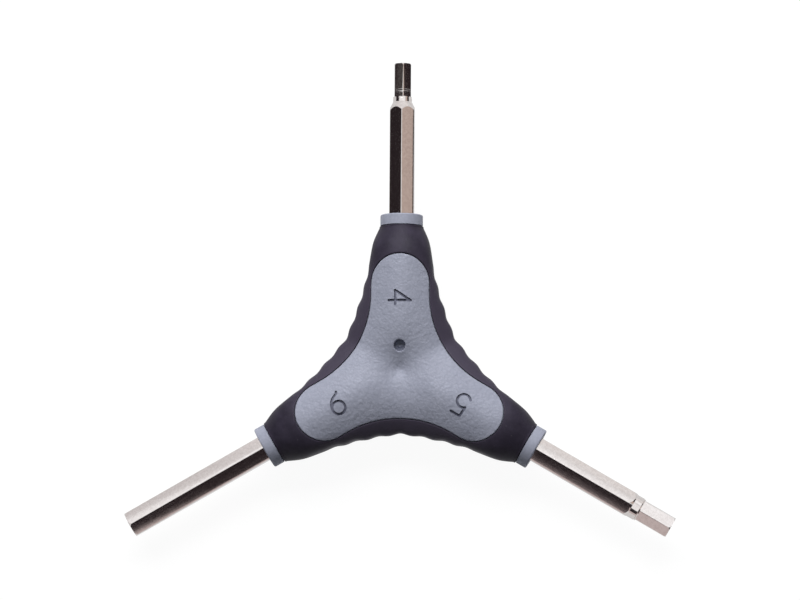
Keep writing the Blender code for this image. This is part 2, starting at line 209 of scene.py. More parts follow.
def ridge(distance):
    """Finger ridges, which fade out after the last one."""
    end = RIDGES * RIDGE_PITCH
    if distance <= end:
        return -0.5 * RIDGE_HEIGHT * math.cos(math.tau * distance / RIDGE_PITCH)
    return -0.5 * RIDGE_HEIGHT * (1.0 - smooth_step((distance - end) / (0.5 * RIDGE_PITCH)))


def squareness(outer):
    """A section's share in the body, 0 at the neck and 1 at the hip, and how square it is."""
    body = smooth_step((NECK_AT - outer.x) / (NECK_AT - HIP_AT))
    return body, 2.0 + (BODY_POWER - 2.0) * body


def skin_point(skin, distance, v, ridged=False):
    """A point of the skin. v runs from 0 on the crest of the arm to 1 on the mid-plane."""
    inner, outer, outward = fan_line(skin, distance)
    body, power = squareness(outer)
    sine, cosine = math.sin(0.5 * math.pi * v), math.cos(0.5 * math.pi * v)
    size = (abs(sine) ** power + abs(cosine) ** power) ** (1.0 / power)
    across = sine / size
    height = cosine / size
    crest = skin["half"]
    if inner.x > CREST_AT:
        crest = between(skin["stations"], skin["heights"], inner.x)[0]
    plan = inner.lerp(outer, across)
    if ridged:
        plan += outward * ridge(distance) * smooth_step((v - RIDGE_STARTS) / RIDGE_FADE)
    z = height * (crest - body * flank(plan.x, plan.y)) - dish(plan.x, plan.y)
    return Vector((plan.x, 0.0 if v == 0.0 else plan.y, 0.0 if v == 1.0 else z))


def skin_place(skin, x, y):
    """The (distance, v) of the skin's point over a plan position in an arm's own sector."""
    spot, low, high = Vector((x, y)), 0.0, skin["far"][-1]
    for _ in range(HALVINGS):
        middle = (low + high) / 2.0
        inner, outer, _ = fan_line(skin, middle)
        if (outer - inner).cross(spot - inner) < 0.0:
            low = middle
        else:
            high = middle
    inner, outer, _ = fan_line(skin, (low + high) / 2.0)
    across = min((spot - inner).length / (outer - inner).length, 1.0)
    power = squareness(outer)[1]
    height = max(1.0 - across ** power, 0.0) ** (1.0 / power)
    return (low + high) / 2.0, math.atan2(across, height) / (0.5 * math.pi)


def over(skin, spot):
    """The skin's point straight above a plan position."""
    return skin_point(skin, *skin_place(skin, spot.x, max(spot.y, 0.0)))


print("panel over the middle", round(over(outer_skin, Vector((0.0, 0.0))).z / MM, 2), "mm high")

# %% [markdown]
# ## The outline where grey meets black
#
# The outline has straight-sided lobes with half-round ends, and one arc leads from lobe to lobe.
# Its twelfth part is an arc, a straight and a quarter circle. A fraction from 0 to 1 along it
# gives the same place on every parallel line, so the rounded edges of both shots line up.

# %% The outline of a panel
PANEL_END = 27.7 * MM
HIP_BAND, WEB_BAND = 1.15 * MM, 3.5 * MM
PANEL_HALF = HIP - HIP_BAND
FILLET = ((WEB - WEB_BAND) - PANEL_HALF / COS_30) / (1.0 / COS_30 - 1.0)
FILLET_CENTRE = Vector((0.5, COS_30)) * ((PANEL_HALF + FILLET) / COS_30)
ARC = FILLET * math.pi / 6.0
STRAIGHT = PANEL_END - PANEL_HALF - FILLET_CENTRE.x
QUARTER = PANEL_HALF * math.pi / 2.0
LOBE_STARTS = (ARC + STRAIGHT) / (ARC + STRAIGHT + QUARTER)


def outline(u, grow):
    """A place on the outline, from the plane between two arms at 0 to the lobe's tip at 1."""
    far = u * (ARC + STRAIGHT + QUARTER)
    if far < ARC:
        a = math.radians(-120.0) + far / FILLET
        return FILLET_CENTRE + (FILLET - grow) * Vector((math.cos(a), math.sin(a)))
    if far < ARC + STRAIGHT:
        return Vector((FILLET_CENTRE.x + far - ARC, PANEL_HALF + grow))
    a = math.pi / 2.0 - (far - ARC - STRAIGHT) / PANEL_HALF
    centre = Vector((PANEL_END - PANEL_HALF, 0.0))
    return centre + (PANEL_HALF + grow) * Vector((math.cos(a), max(math.sin(a), 0.0)))


# Rows of faces run from the outline to the side line, and round the lobe's tip to the neck.
# Each row is (place on the outline, share of the side line, v where it ends).
SIDE_ROWS, TAPER_ROWS, RING_ROWS = 40, 14, 24
LOBE_TURN = LOBE_STARTS + (1.0 - LOBE_STARTS) * 0.42
hip_share = outer_skin["hip"] / outer_skin["far"][-1]
rows = [(LOBE_STARTS * i / SIDE_ROWS, hip_share * i / SIDE_ROWS, 1.0) for i in range(SIDE_ROWS)]
for i in range(TAPER_ROWS):
    t = i / TAPER_ROWS
    place = LOBE_STARTS + (LOBE_TURN - LOBE_STARTS) * t
    rows.append((place, hip_share + (1.0 - hip_share) * t, 1.0))
for i in range(RING_ROWS + 1):
    rows.append((LOBE_TURN + (1.0 - LOBE_TURN) * i / RING_ROWS, 1.0, 1.0 - i / RING_ROWS))
print(len(rows), "rows in a twelfth of the handle")

# %% [markdown]
# ## From a twelfth to the whole handle
#
# `bmesh.ops.create_grid` gives a sheet of quads, and each vertex is moved to its place on a
# path. Two mirrors make an arm of it. The open rings at the necks are then drawn out with
# `extrude_edge_only`, the way a potter pulls a rim, and two turned copies close the Y.

# %% Small helpers for meshes
SHARP = 35.0
TINY = 0.001 * MM


def everything(bm):
    return bm.verts[:] + bm.edges[:] + bm.faces[:]


def verts_in(items):
    return [item for item in items if isinstance(item, bmesh.types.BMVert)]


def open_edges_in(items):
    return [item for item in items if isinstance(item, bmesh.types.BMEdge) and item.is_boundary]


def turn_verts(bm, verts, degrees):
    """Turns vertices about the wrench's own axis."""
    turn = Matrix.Rotation(math.radians(degrees), 3, "Z")
    bmesh.ops.rotate(bm, verts=verts, matrix=turn)


def as_mesh(bm, name):
    mesh = bpy.data.meshes.new(name)
    bm.to_mesh(mesh)
    bm.free()
    return mesh


def add_object(name, data):
    item = bpy.data.objects.new(name, data)
    bpy.context.scene.collection.objects.link(item)
    return item


def smooth_mesh(mesh, sharp=SHARP):
    """Shades a mesh smooth, with edges kept sharp above an angle."""
    mesh.shade_smooth()
    mesh.set_sharp_from_angle(angle=math.radians(sharp))


def finished(bm, name, sharp=SHARP):
    """Makes an object of a bmesh."""
    holes = len(open_edges_in(bm.edges))
    mesh = as_mesh(bm, name)
    smooth_mesh(mesh, sharp)
    print(name, len(mesh.polygons), "faces,", holes, "open edges")
    return add_object(name, mesh)

# %% Sheet, mirrors and pulled rims
def bend_sheet(paths):
    """A grid of faces with one row for each path."""
    bm = bmesh.new()
    last, steps = len(paths) - 1, len(paths[0]) - 1
    bmesh.ops.create_grid(bm, x_segments=last, y_segments=steps, size=0.5)
    for vert in bm.verts:
        vert.co = paths[round((vert.co.x + 0.5) * last)][round((vert.co.y + 0.5) * steps)]
    return bm


def mirror_both(bm):
    """Makes a whole arm of a quarter of it."""
    for axis in "YZ":
        bmesh.ops.mirror(bm, geom=everything(bm), axis=axis, merge_dist=TINY)


def ring_near(bm, radius):
    """The open ring round the neck of the arm, of about this radius."""
    def fits(edge):
        middle = (edge.verts[0].co + edge.verts[1].co) / 2.0
        gap = math.hypot(middle.y, middle.z) - radius
        return edge.is_boundary and abs(middle.x - NECK_AT) < TINY and abs(gap) < 0.05 * MM
    return [edge for edge in bm.edges if fits(edge)]


def pull_ring(bm, ring, steps):
    """Draws a ring out along X. Each step is (x, radius), and a radius may depend on the angle."""
    for x, radius in steps:
        grown = bmesh.ops.extrude_edge_only(bm, edges=ring)["geom"]
        for vert in verts_in(grown):
            angle = math.atan2(vert.co.y, vert.co.z)
            r = radius(angle) if callable(radius) else radius
            vert.co = (x, r * math.sin(angle), r * math.cos(angle))
        ring = open_edges_in(grown)
    return ring


def three_arms(bm):
    """Turned copies of one arm, merged between the arms, with the first arm along Y."""
    arm = everything(bm)
    for degrees in (120.0, 240.0):
        turn_verts(bm, verts_in(bmesh.ops.duplicate(bm, geom=arm)["geom"]), degrees)
    turn_verts(bm, bm.verts[:], 90.0)
    bmesh.ops.remove_doubles(bm, verts=bm.verts[:], dist=TINY)
    bmesh.ops.recalc_face_normals(bm, faces=bm.faces[:])


def rounding(count):
    """Sine and one minus cosine of the steps of a quarter round."""
    angles = [0.5 * math.pi * i / count for i in range(1, count + 1)]
    return [(math.sin(a), 1.0 - math.cos(a)) for a in angles]


def rounded_end(x, radius, size, count):
    """Steps of a ring that runs out to x, with its edge rounded."""
    turn = [(x - size * (1.0 - sine), radius - size * drop) for sine, drop in rounding(count)]
    return [(x - size, radius)] + turn

# %% [markdown]
# ## The rubber grip
#
# Over-moulded rubber ends in a soft lip where it meets the plastic, and that lip catches a thin
# light line. It could be added with a Bevel, but a bevel runs unevenly over a curved edge. Here
# each path of the sheet starts inside at the mid-plane, follows the seat on the core, climbs the
# lip and runs over the ridges to the mid-plane again, so the lip is even all the way round.

# %% Model the rubber grip
SEAM = 0.16 * MM
GRIP_LIP, LIP_STEPS = 0.24 * MM, 4
HIDDEN_COLUMNS, GRIP_COLUMNS = 8, 24
CUFF_ROUND = 0.25 * MM


def band(skin, grow, row, count, ridged=False):
    """Points of the skin from the outline to the end of a row."""
    u, share, v_end = row
    start, v = skin_place(skin, *outline(u, grow))
    end = skin["far"][-1] * share
    steps = [i / count for i in range(count + 1)]
    return [skin_point(skin, start + (end - start) * t, v + (v_end - v) * t, ridged) for t in steps]


def grip_path(row):
    """Seat, wall, lip and outside of the rubber along one row."""
    seat = band(seat_skin, SEAM, row, HIDDEN_COLUMNS)
    lip = []
    for sine, drop in reversed(rounding(LIP_STEPS)):
        spot = outline(row[0], SEAM + GRIP_LIP * (1.0 - sine))
        lip.append(over(outer_skin, spot) - Vector((0.0, 0.0, GRIP_LIP * drop)))
    wall = [seat[0].lerp(lip[0], 0.5)]
    outside = band(outer_skin, SEAM + GRIP_LIP, row, GRIP_COLUMNS, ridged=True)
    return seat[::-1] + wall + lip + outside


bm = bend_sheet([grip_path(row) for row in rows])
mirror_both(bm)
cuff = rounded_end(GRIP_END, CUFF_RADIUS, CUFF_ROUND, LIP_STEPS)
cuff += [(GRIP_END, SEAT_RADIUS), (NECK_AT + 0.3 * MM, SEAT_RADIUS)]
rim = pull_ring(bm, ring_near(bm, CUFF_RADIUS), cuff)
bmesh.ops.bridge_loops(bm, edges=rim + ring_near(bm, SEAT_RADIUS))
three_arms(bm)
grip = finished(bm, "grip")

# %% [markdown]
# ## The grey core
#
# The core is one moulding too: panel, seam wall, the body under the rubber, sleeve, collar and
# the hexagonal well of each key. Its paths start on the crest of the arm, and the collar is
# pulled from the ring at the neck.

# %% Model the core
PANEL_EDGE = 0.2 * MM
PANEL_COLUMNS = 26
KEY_FIT = 0.02 * MM
COLLAR_BEVEL, COLLAR_ROUND, COLLAR_STEPS = 0.1 * MM, 0.35 * MM, 5


def lobe_start(u):
    """Where the panel's own row leaves the crest. Round the lobe's tip the rows fan out."""
    place = skin_place(outer_skin, *outline(min(u, LOBE_STARTS), 0.0))[0]
    x = fan_line(outer_skin, place)[0].x
    if u <= LOBE_STARTS:
        return Vector((x, 0.0))
    t = (u - LOBE_STARTS) / (1.0 - LOBE_STARTS)
    return Vector((x + (PANEL_END - 0.5 * PANEL_HALF - x) * t, 0.0))


def core_path(row):
    """Panel, rounded edge, wall and the body under the rubber along one row."""
    u = row[0]
    start, edge = lobe_start(u), outline(u, -PANEL_EDGE)
    shares = [i / PANEL_COLUMNS for i in range(PANEL_COLUMNS + 1)]
    path = [over(outer_skin, start.lerp(edge, share)) for share in shares]
    for sine, drop in rounding(LIP_STEPS):
        spot = outline(u, PANEL_EDGE * (sine - 1.0))
        path.append(over(outer_skin, spot) - Vector((0.0, 0.0, PANEL_EDGE * drop)))
    body = band(core_skin, 0.0, row, HIDDEN_COLUMNS)
    return path + [path[-1].lerp(body[0], 0.5)] + body


def hexagon(flats):
    """Radius of a hexagon at an angle from one of its corners."""
    return lambda angle: flats / 2.0 / math.cos((angle % math.radians(60.0)) - math.radians(30.0))


bm = bend_sheet([core_path(row) for row in rows])
mirror_both(bm)
collar = [(COLLAR_INNER, SLEEVE_RADIUS), (COLLAR_INNER, COLLAR_RADIUS - COLLAR_BEVEL)]
collar += [(COLLAR_INNER + COLLAR_BEVEL, COLLAR_RADIUS)]
collar += rounded_end(COLLAR_FACE, COLLAR_RADIUS, COLLAR_ROUND, COLLAR_STEPS)
well = hexagon(SHANK_FLATS + 2.0 * KEY_FIT)
collar += [(COLLAR_FACE, well), (KEY_ROOT - KEY_FIT, well)]
floor_ring = pull_ring(bm, ring_near(bm, SLEEVE_RADIUS), collar)
bmesh.ops.holes_fill(bm, edges=floor_ring, sides=0)
three_arms(bm)
core = finished(bm, "core")

# %% [markdown]
# ## The moulded figures and the gate
#
# Each lobe carries the size of its key, sunk half a millimetre into the crowned panel.
# A text object gives a flat cutter, which would be deep on the crest and vanish at the edge. So
# the figures are drawn as strokes instead. Every stroke is a narrow grid of faces bent along its
# line, and its floor and top both follow the panel's own height. The round gate recess near the
# middle is cut the same way, with a small rough stub in it.

# %% Figures as strokes
FIGURE_HEIGHT, FIGURE_AT, FIGURE_DEPTH = 5.2 * MM, 17.2 * MM, 0.5 * MM
STROKE, STROKE_STEP = 0.62 * MM, 0.3 * MM
ARC_PER_DEGREE = 0.0175
CAP_ANGLES = (0.5, 1.0, 1.4)


def arc(centre, radius, start, end):
    """Points of an arc by angles in degrees, with the height of a figure as the unit."""
    length = abs(end - start) * radius * FIGURE_HEIGHT * ARC_PER_DEGREE
    count = max(int(length / STROKE_STEP), 8)
    angles = [math.radians(start + (end - start) * i / count) for i in range(count + 1)]
    return [(centre[0] + radius * math.cos(a), centre[1] + radius * math.sin(a)) for a in angles]


FIGURES = {
    "4": [[(0.46, 0.0), (0.46, 1.0)], [(0.46, 1.0), (0.0, 0.3)], [(0.0, 0.3), (0.64, 0.3)]],
    "5": [[(0.56, 1.0), (0.1, 1.0)], [(0.1, 1.0), (0.06, 0.54)],
          arc((0.27, 0.31), 0.31, 132.0, -145.0)],
    "6": [arc((0.3, 0.3), 0.3, 0.0, 360.0),
          arc((0.62, 0.3), 0.62, 180.0, 103.0) + [(0.54, 1.0)]],
}


def stroke_path(corners):
    """A stroke's middle line in short steps, with half its width at each and rounded ends."""
    corners = [Vector(corner) * FIGURE_HEIGHT for corner in corners]
    line = []
    for a, b in zip(corners, corners[1:]):
        count = max(round((b - a).length / STROKE_STEP), 1)
        line += [a.lerp(b, i / count) for i in range(count)]
    line.append(corners[-1])
    half, closed = STROKE / 2.0, (line[0] - line[-1]).length < 0.1 * STROKE
    path = [(point, half) for point in line]
    if not closed:
        for end, inner in ((0, 1), (-1, -2)):
            way = (line[end] - line[inner]).normalized()
            cap = [(line[end] + way * half * math.sin(a), half * math.cos(a)) for a in CAP_ANGLES]
            path = cap[::-1] + path if end == 0 else path + cap
    return path, closed


print({figure: len(strokes) for figure, strokes in FIGURES.items()}, "strokes")

# %% Cutters that follow the panel
CUTTER_RISE = 0.4 * MM
LEVEL_STEP = 0.025 * MM
GATE_AT = 5.6 * MM
# Radius and height in millimetres, from the stub on the recess's floor to the flared mouth.
GATE_PROFILE = [(0.0, -1.25), (0.3, -1.29), (0.42, -1.54), (0.6, -1.6), (1.22, -1.6),
                (1.36, -1.5), (1.4, -1.3), (1.4, -0.1), (1.46, -0.02), (1.58, 0.05),
                (1.7, 0.4), (0.0, 0.4)]


def panel_height(x, y):
    """Height of the front panel over any place of the finished wrench."""
    third, sixth = math.radians(120.0), math.radians(60.0)
    turn = (math.atan2(y, x) - math.radians(30.0)) % third - sixth
    radius = math.hypot(x, y)
    return over(outer_skin, Vector((radius * math.cos(turn), radius * abs(math.sin(turn))))).z


def follow_panel(bm):
    """Adds the panel's height to every vertex, so that z = 0 lies on its surface."""
    for vert in bm.verts:
        vert.co.z += panel_height(vert.co.x, vert.co.y)


def stroke_cutter(corners, degrees, depth):
    """One stroke of the figure on the arm at this angle."""
    path, closed = stroke_path(corners)
    last = len(path) - 1
    bm = bmesh.new()
    bmesh.ops.create_grid(bm, x_segments=last, y_segments=2, size=0.5)
    for vert in bm.verts:
        i, side = round((vert.co.x + 0.5) * last), round(vert.co.y * 2.0)
        before, after = path[max(i - 1, 0)][0], path[min(i + 1, last)][0]
        if closed and i in (0, last):
            before, after = path[-2][0], path[1][0]
        way = (after - before).normalized()
        spot = path[i][0] + Vector((-way.y, way.x)) * path[i][1] * side
        vert.co = (spot.x, spot.y, 0.0)
    bmesh.ops.remove_doubles(bm, verts=bm.verts[:], dist=TINY)
    to_middle = (-0.3 * FIGURE_HEIGHT, -0.5 * FIGURE_HEIGHT, -depth)
    bmesh.ops.translate(bm, verts=bm.verts[:], vec=to_middle)
    top = verts_in(bmesh.ops.extrude_face_region(bm, geom=bm.faces[:])["geom"])
    bmesh.ops.translate(bm, verts=top, vec=(0.0, 0.0, depth + CUTTER_RISE))
    turn_verts(bm, bm.verts[:], degrees + 180.0)
    a = math.radians(degrees)
    to_arm = (FIGURE_AT * math.cos(a), FIGURE_AT * math.sin(a), 0.0)
    bmesh.ops.translate(bm, verts=bm.verts[:], vec=to_arm)
    return bm


def gate_cutter():
    """A turned plug with a flared mouth and a dimple that leaves a stub on the floor."""
    bm = bmesh.new()
    line = [bm.verts.new((r * MM, 0.0, z * MM)) for r, z in GATE_PROFILE]
    edges = [bm.edges.new(pair) for pair in zip(line, line[1:])]
    bmesh.ops.spin(bm, geom=line + edges, axis=(0, 0, 1), angle=math.tau, steps=48, use_merge=True)
    bmesh.ops.remove_doubles(bm, verts=bm.verts[:], dist=0.1 * TINY)
    bmesh.ops.translate(bm, verts=bm.verts[:], vec=(0.0, GATE_AT, 0.0))
    return bm

# %% Cut them into the core
cutters = bpy.data.collections.new("cutters")
# Strokes that cross differ a little in depth, so that no two floors lie in the same place.
strokes = [stroke_cutter(line, degrees, FIGURE_DEPTH - LEVEL_STEP * i)
           for label, degrees in ARMS.items() for i, line in enumerate(FIGURES[label[0]])]
for bm in strokes + [gate_cutter()]:
    follow_panel(bm)
    bmesh.ops.recalc_face_normals(bm, faces=bm.faces[:])
    cutters.objects.link(bpy.data.objects.new("cutter", as_mesh(bm, "cutter")))
bpy.context.scene.collection.children.link(cutters)
cut = core.modifiers.new("figures and gate", "BOOLEAN")
cut.operation, cut.solver = "DIFFERENCE", "MANIFOLD"
cut.operand_type, cut.collection = "COLLECTION", cutters
with_figures = core.evaluated_get(bpy.context.evaluated_depsgraph_get())
core.data = bpy.data.meshes.new_from_object(with_figures)
core.modifiers.clear()
for item in list(cutters.objects):
    bpy.data.objects.remove(item)
bpy.data.collections.remove(cutters)
smooth_mesh(core.data)
print("core with figures:", len(core.data.polygons), "faces")

# %% Paint shade into the figures by how deep they lie
# Painted shade in the figures: none at the panel's surface, full at this depth below it.
GROOVE_SHADE_FULL = 0.12 * MM
FIGURE_ROOM = 0.75 * FIGURE_HEIGHT
centres = [Vector((math.cos(math.radians(a)), math.sin(math.radians(a)))) * FIGURE_AT
           for a in ARMS.values()]
groove_shades = core.data.attributes.new("groove_shade", "FLOAT", "POINT").data
for vert, groove_shade in zip(core.data.vertices, groove_shades):
    spot = vert.co.to_2d()
    near = vert.co.z > 0.0 and any((spot - centre).length < FIGURE_ROOM for centre in centres)
    depth = panel_height(spot.x, spot.y) - vert.co.z if near else 0.0
    groove_shade.value = min(max(depth / GROOVE_SHADE_FULL, 0.0), 1.0)
print(sum(groove_shade.value > 0.5 for groove_shade in groove_shades), "points lie in the figures")

# %% [markdown]
# ## The keys
#
# A drawn hexagonal bar isn't made of perfect planes. Its flats are crowned by a few hundredths
# and its corners are rounded, and both matter in polished metal: the crown lets a reflection
# fade across a flat, and the corner draws one bright line. A hexagon gets its corners from
# `bevel` and its crown from moved points, and is then pulled along the key ring by ring. At a
# turned shoulder each point stops where the cone meets it, which gives the curved ends of the
# flats.
#
# Nor is a bar quite straight. Each working end is turned by a few degrees against its bar, and
# the plain bar winds by two degrees over its length. Facets that would mirror the same thing
# then differ, as they do in the photograph. A fine groove parts each turned neck from its
# working end, and two scored lines run round the smallest end.

# %% Outline of a bar
FLAT_PARTS, CORNER_PARTS = 8, 4


def bar_outline(flats, corner, crown):
    """Angles and radii of a hexagon with rounded corners and crowned flats, corner first."""
    bm = bmesh.new()
    bmesh.ops.create_circle(bm, cap_ends=True, segments=6, radius=flats / 2.0 / COS_30)
    turn_verts(bm, bm.verts[:], 30.0)
    bmesh.ops.bevel(bm, geom=bm.verts[:], affect="VERTICES", offset=corner, offset_type="OFFSET",
                    segments=CORNER_PARTS, profile=0.5, material=-1)
    flat = sorted(bm.edges, key=lambda edge: -edge.calc_length())[:6]
    bmesh.ops.subdivide_edges(bm, edges=flat, cuts=FLAT_PARTS - 1)
    half = flats / 2.0 * math.tan(math.radians(30.0))
    found = []
    for vert in bm.verts:
        angle, radius = math.atan2(vert.co.y, vert.co.x), vert.co.to_2d().length
        facet = math.cos((angle % math.radians(60.0)) - math.radians(30.0))
        side = radius * math.sqrt(max(1.0 - facet * facet, 0.0)) / half
        found.append((angle, radius - crown * min(side, 1.0) ** 2))
    bm.free()
    return sorted(found)


SHANK = bar_outline(SHANK_FLATS, 0.10 * MM, 0.035 * MM)
print(len(SHANK), "points round a bar")

# %% Rings of a plain and of a stepped key
CHAMFER, CHAMFER_RUN = 0.075, 2.0
CONE_SLOPE = 0.5
POINT_CORNER, POINT_CROWN, POINT_STEP = 0.03 * MM, 0.025 * MM, 0.03 * MM
GROOVE_FROM, GROOVE_FULL = 0.36 * MM, 0.34 * MM
SCORE = ((0.0, 0.0), (0.06 * MM, 0.014 * MM), (0.12 * MM, 0.0))
PLAIN_TWISTS = ((0.0, 0.0), (9.0, 0.1), (18.0, 0.5), (27.0, 1.2))


def straight(bar, x, twist=0.0):
    """A ring square to the key, with the bar's own outline turned by a small twist."""
    return lambda i: (x, bar[i][0] + math.radians(twist), bar[i][1])


def turned(x, radius):
    """A round ring."""
    return lambda i: (x, SHANK[i][0], radius)


def shoulder(x, radius, t):
    """A ring of the cone that ends at (x, radius). It leaves the flats at t = 0."""
    def ring(i):
        a, r = SHANK[i]
        return x - (r - radius) * (1.0 - t) / CONE_SLOPE, a, r + (radius - r) * t
    return ring


def chamfered(bar, end, twist=0.0):
    """The rings of a turned chamfer that cuts only the corners of a bar, and the end face."""
    rim = (1.0 - CHAMFER) * max(r for _, r in bar)

    def foot(i):
        a, r = bar[i]
        return end - CHAMFER_RUN * max(r - rim, 0.0), a + math.radians(twist), r

    def face(i):
        a, r = bar[i]
        return end, a + math.radians(twist), min(r, rim)
    return [foot, face]


def stepped_rings(flats, tip, neck, groove, twist, scores=()):
    """Bar, shoulder, turned neck with a groove at its end, and the smaller working end."""
    point = bar_outline(flats, POINT_CORNER, POINT_CROWN)
    small = max(r for _, r in point) + POINT_STEP
    base = REACH - tip
    cone_top = base - neck
    rings = [straight(SHANK, COLLAR_FACE + d * MM) for d in (0.0, 9.0, 18.0)]
    rings += [shoulder(cone_top, small, t) for t in (0.0, 0.25, 0.5, 0.75)]
    rings += [turned(cone_top, small), turned(base - GROOVE_FROM, small)]
    rings += [turned(base - GROOVE_FULL, small - groove), turned(base, small)]
    rings.append(straight(point, base, twist))
    for at in scores:
        for step, sink in SCORE:
            scored = [(a, r - sink) for a, r in point]
            rings.append(straight(scored, base + at + step, twist))
    rings.append(straight(point, base + tip * 0.5, twist))
    return rings + chamfered(point, REACH, twist)


plain = [straight(SHANK, COLLAR_FACE + d * MM, twist) for d, twist in PLAIN_TWISTS]
rings_of = {
    "4mm": stepped_rings(4.0 * MM, 8.2 * MM, 1.2 * MM, 0.04 * MM, -6.0, (1.35 * MM, 1.8 * MM)),
    "5mm": stepped_rings(5.0 * MM, 8.3 * MM, 2.2 * MM, 0.2 * MM, -6.5),
    "6mm": plain + chamfered(SHANK, REACH, 1.9),
}
print({label: len(rings) for label, rings in rings_of.items()}, "rings")

# %% Pull the keys
KEY_SHARP = 18.0


def key_mesh(name, degrees, rings):
    """A key pulled ring by ring. A ring gives (x, angle, radius) for each outline point."""
    bm = bmesh.new()
    verts = [bm.verts.new((KEY_ROOT, r * math.sin(a), r * math.cos(a))) for a, r in SHANK]
    edges = [bm.edges.new(pair) for pair in zip(verts, verts[1:] + verts[:1])]
    bmesh.ops.holes_fill(bm, edges=edges, sides=0)
    order = {vert: i for i, vert in enumerate(verts)}
    for ring in rings:
        grown = bmesh.ops.extrude_edge_only(bm, edges=edges)["geom"]
        edges = open_edges_in(grown)
        # A fresh vertex still lies on an old one, and takes over its number.
        numbers = {tuple(vert.co): i for vert, i in order.items()}
        order = {vert: numbers[tuple(vert.co)] for vert in verts_in(grown)}
        for vert, i in order.items():
            x, a, r = ring(i)
            vert.co = (x, r * math.sin(a), r * math.cos(a))
    bmesh.ops.holes_fill(bm, edges=edges, sides=0)
    bmesh.ops.recalc_face_normals(bm, faces=bm.faces[:])
    turn_verts(bm, bm.verts[:], degrees)
    return finished(bm, name, KEY_SHARP)


keys = {label: key_mesh("key_" + label, ARMS[label], rings_of[label]) for label in rings_of}

# %% [markdown]
# ## Finishes
#
# All patterns read Object coordinates in metres, so a scale of 1000 makes about one spot to a
# millimetre. Small helpers write a node with its settings in one line.

# %% Node helpers
def new_finish(name):
    material = bpy.data.materials.new(name)
    material.use_nodes = True
    return material, material.node_tree, material.node_tree.nodes["Principled BSDF"]


def wire(tree, made, **inputs):
    """Sets or links inputs, named as in the editor with _ for a space, or i and a number."""
    for key, value in inputs.items():
        numbered = key[0] == "i" and key[1:].isdigit()
        socket = made.inputs[int(key[1:]) if numbered else key.replace("_", " ")]
        if isinstance(value, bpy.types.NodeSocket):
            tree.links.new(value, socket)
        else:
            socket.default_value = value
    return made


def node(tree, kind, settings=None, **inputs):
    """Adds a node with its settings and inputs."""
    made = tree.nodes.new("ShaderNode" + kind)
    for key, value in (settings or {}).items():
        setattr(made, key, value)
    return wire(tree, made, **inputs)


def object_place(tree):
    return node(tree, "TexCoord").outputs["Object"]


def from_middle(tree, where):
    """Distance from the middle of the wrench."""
    return node(tree, "VectorMath", {"operation": "LENGTH"}, i0=where).outputs["Value"]


def noise(tree, where, scale, detail, **inputs):
    made = node(tree, "TexNoise", Vector=where, Scale=scale, Detail=detail, **inputs)
    return made.outputs["Fac"]


def cells(tree, where, scale, feature, **inputs):
    """Distance from the middle of the cell that a place lies in."""
    made = node(tree, "TexVoronoi", {"feature": feature}, Vector=where, Scale=scale, **inputs)
    return made.outputs["Distance"]


def blend(tree, factor, low, high):
    """Mixes two colours."""
    made = node(tree, "Mix", {"data_type": "RGBA"}, i0=factor, i6=low, i7=high)
    return made.outputs[2]


def ramp(tree, value, low, high, to_low=0.0, to_high=1.0):
    """Maps a range of a value to another range, held at both ends."""
    made = node(tree, "MapRange", {"clamp": True}, Value=value, From_Min=low, From_Max=high,
                To_Min=to_low, To_Max=to_high)
    return made.outputs[0]


def added(tree, value, factor, rest):
    """A value times a factor, plus the rest."""
    made = node(tree, "Math", {"operation": "MULTIPLY_ADD"}, i0=value, i1=factor, i2=rest)
    return made.outputs[0]


def relief(tree, height, strength, distance):
    """A normal bent by a height."""
    made = node(tree, "Bump", Strength=strength, Distance=distance, Height=height)
    return made.outputs["Normal"]

# %% [markdown]
# ### Moulded grey plastic
#
# The panels carry a fine pebbled grain that the mould was etched with, and the collars are
# smooth. Smooth Voronoi cells give pebbles, and a finer noise breaks them up. A broader,
# distorted noise gives the soft wrinkles that show in slanting light. The grain fades out
# towards the collars by the distance from the middle, and the figures get a painted shade
# by their depth.

# %% Grey plastic
GREY_TONES = (0.286, 0.298, 0.368, 1), (0.316, 0.328, 0.401, 1)
PIT_TONE, GROOVE_SHADE_TONE = (0.22, 0.235, 0.29, 1), (0.13, 0.135, 0.18, 1)
# The last tone here is the painted shade in the figures' grooves.
GRAIN_ENDS = 31.0 * MM, 34.0 * MM

grey_plastic, tree, shader = new_finish("grey_plastic")
where = object_place(tree)
pebbles = cells(tree, where, 1500.0, "SMOOTH_F1", Smoothness=0.6)
fine = noise(tree, where, 3200.0, 3.0)
cloud = noise(tree, where, 180.0, 4.0, Roughness=0.6)
wrinkles = noise(tree, where, 780.0, 2.0, Distortion=0.4)
height = added(tree, wrinkles, 2.2, added(tree, fine, 0.5, pebbles))
grained = ramp(tree, from_middle(tree, where), *GRAIN_ENDS, 1.0, 0.0)
strength = ramp(tree, grained, 0.0, 1.0, 0.1, 0.75)
tone = blend(tree, ramp(tree, cloud, 0.35, 0.65), *GREY_TONES)
tone = blend(tree, ramp(tree, pebbles, 0.25, 0.6, 0.0, 0.25), tone, PIT_TONE)
# Painted shade in the figures, darker the deeper a point lies in them.
groove_shade = node(tree, "Attribute", {"attribute_name": "groove_shade"}).outputs["Fac"]
wire(tree, shader, Base_Color=blend(tree, groove_shade, tone, GROOVE_SHADE_TONE),
     Roughness=ramp(tree, fine, 0.3, 0.7, 0.42, 0.56), Specular_IOR_Level=0.15,
     Normal=relief(tree, height, strength, 0.08 * MM))
print("grey plastic:", len(tree.nodes), "nodes")

# %% [markdown]
# ### Black rubber
#
# Soft over-moulding is nearly black with a trace of violet, and it is never glossy. A fine
# stipple scatters the light, and a faint cloud lifts the tone here and there. The tone is
# lighter near the middle, most of all on the bands between the arms.

